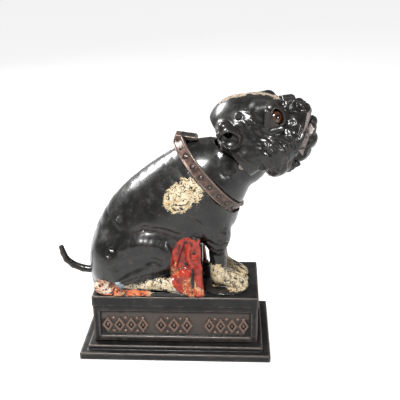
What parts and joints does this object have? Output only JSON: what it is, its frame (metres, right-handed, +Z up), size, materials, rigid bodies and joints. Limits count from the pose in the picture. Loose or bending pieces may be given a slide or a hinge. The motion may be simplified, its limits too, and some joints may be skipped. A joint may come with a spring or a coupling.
{
  "type": "mechanical coin bank",
  "caption": "Cast iron coin bank: a seated dog on a panelled money box, with a tail lever that tips back the head and opens the lower jaw.",
  "frame": {"origin": "centre of the whole part's outline seen from above, on the surface it stands on", "axes": "+X from the tail to the nose, +Y to the dog's left, +Z up"},
  "size_m": [0.2, 0.0886, 0.1996],
  "materials": {
    "black_iron": "worn black japanned paint, half gloss, brown where it is rubbed",
    "collar_bronze": "dull bronze paint, rubbed bright on the rims and studs",
    "bare_steel": "dull oiled steel wire and fasteners",
    "amber_glass": "polished amber glass eye"
  },
  "bodies": {
    "bank": {"base_plate": "black_iron", "base_box": "black_iron", "trap_rivet": "bare_steel", "base_screw_front_left": "bare_steel", "base_screw_front_right": "bare_steel", "base_screw_rear_left": "bare_steel", "base_screw_rear_right": "bare_steel", "deck_screw_front_left": "bare_steel", "deck_screw_front_right": "bare_steel", "deck_screw_rear_left": "bare_steel", "deck_screw_rear_right": "bare_steel", "body_right_half": "black_iron", "body_left_half": "black_iron", "body_rivet_front": "black_iron", "body_rivet_rear": "black_iron", "collar": "collar_bronze", "tail_pivot_pin": "bare_steel", "return_spring": "bare_steel"},
    "head": {"head_right_half": "black_iron", "head_left_half": "black_iron", "head_rivet": "black_iron", "head_lever": "black_iron", "head_pivot_pin": "bare_steel", "jaw_pivot_pin": "bare_steel", "eye_right": "amber_glass", "eye_left": "amber_glass"},
    "jaw": {"lower_jaw": "black_iron"},
    "jaw_wire": {"jaw_link": "bare_steel"},
    "tail": {"tail_lever": "black_iron"},
    "rod": {"push_rod": "bare_steel"},
    "trap": {"trap_cover": "black_iron"}
  },
  "joints": [
    {"name": "head_tilt", "type": "hinge", "parent": "bank", "child": "head", "pos_m": [0.0441, 0, 0.152], "axis": [0, -1, 0], "range_deg": [0, 18]},
    {"name": "tail_lever", "type": "hinge", "parent": "bank", "child": "tail", "pos_m": [-0.0559, 0, 0.0605], "axis": [0, -1, 0], "range_deg": [0, 13], "stiffness_Nm_per_rad": 0.06, "springref_deg": -20.05, "deforming": ["return_spring"]},
    {"name": "jaw_open", "type": "hinge", "parent": "head", "child": "jaw", "pos_m": [0.06953, 0, 0.15715], "axis": [0, 1, 0], "range_deg": [0, 21.7]},
    {"name": "rod_foot", "type": "hinge", "parent": "tail", "child": "rod", "pos_m": [-0.03455, 0, 0.05518], "axis": [0, 1, 0], "range_deg": [0, 14]},
    {"name": "jaw_wire_hook", "type": "hinge", "parent": "jaw", "child": "jaw_wire", "pos_m": [0.07785, 0, 0.14845], "axis": [0, -1, 0], "range_deg": [0, 22]},
    {"name": "trap_swing", "type": "hinge", "parent": "bank", "child": "trap", "pos_m": [-0.0179, -0.017, 0.0034], "axis": [0, 0, 1], "range_deg": [0, 100]}
  ],
  "couplings": [
    {"joint": "tail_lever", "follows": "head_tilt", "ratio": 0.7211},
    {"joint": "jaw_open", "follows": "head_tilt", "ratio": 1.2028},
    {"joint": "rod_foot", "follows": "head_tilt", "ratio": 0.771},
    {"joint": "jaw_wire_hook", "follows": "head_tilt", "ratio": 1.2133}
  ]
}
